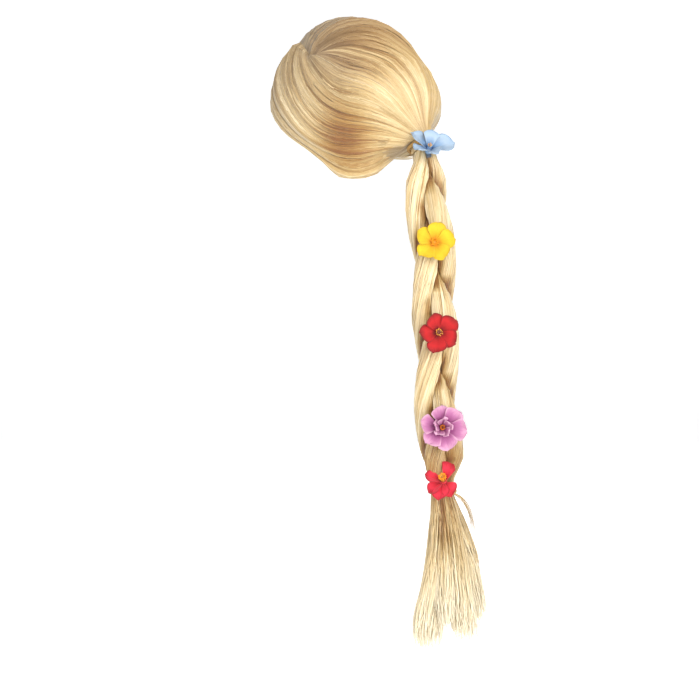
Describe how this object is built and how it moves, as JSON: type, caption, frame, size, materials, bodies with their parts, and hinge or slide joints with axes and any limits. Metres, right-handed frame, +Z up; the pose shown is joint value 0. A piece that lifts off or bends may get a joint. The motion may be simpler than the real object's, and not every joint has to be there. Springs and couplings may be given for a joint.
{
  "type": "braided costume wig",
  "caption": "Long blonde costume wig, combed back over a net cap into a loose plait dressed with cloth flowers, worn over a head.",
  "frame": {"origin": "inside top of the cap, where the crown of the wearer's head meets it", "axes": "+Z up along the wearer's head, -Y towards the face, +X towards the wearer's left"},
  "size_m": [0.186, 0.2894, 0.7695],
  "materials": {
    "cap_net": "matte net",
    "hair": "combed synthetic fibre with a soft shine",
    "hair_tie": "matte elastic",
    "clip": "satin",
    "cloth_blue": "fine matte weave",
    "cloth_yellow": "fine matte weave",
    "cloth_red": "fine matte weave",
    "cloth_purple": "fine matte weave",
    "cloth_coral": "fine matte weave",
    "stamens": "matte thread"
  },
  "bodies": {
    "root": {"cap": "cap_net", "hair_crown": "hair", "hair_gather": "hair", "hair_tie_top": "hair_tie", "braid_strand_1": "hair", "braid_strand_2": "hair", "braid_strand_3": "hair", "hair_tie_bottom": "hair_tie", "braid_tail": "hair", "flower_blue_clip": "clip", "flower_blue_petals": "cloth_blue", "flower_blue_centre": "stamens", "flower_yellow_clip": "clip", "flower_yellow_petals": "cloth_yellow", "flower_yellow_centre": "stamens", "flower_red_clip": "clip", "flower_red_petals": "cloth_red", "flower_red_centre": "stamens", "flower_purple_clip": "clip", "flower_purple_petals": "cloth_purple", "flower_purple_centre": "stamens", "flower_red_low_clip": "clip", "flower_red_low_petals": "cloth_coral", "flower_red_low_centre": "stamens"}
  },
  "joints": []
}
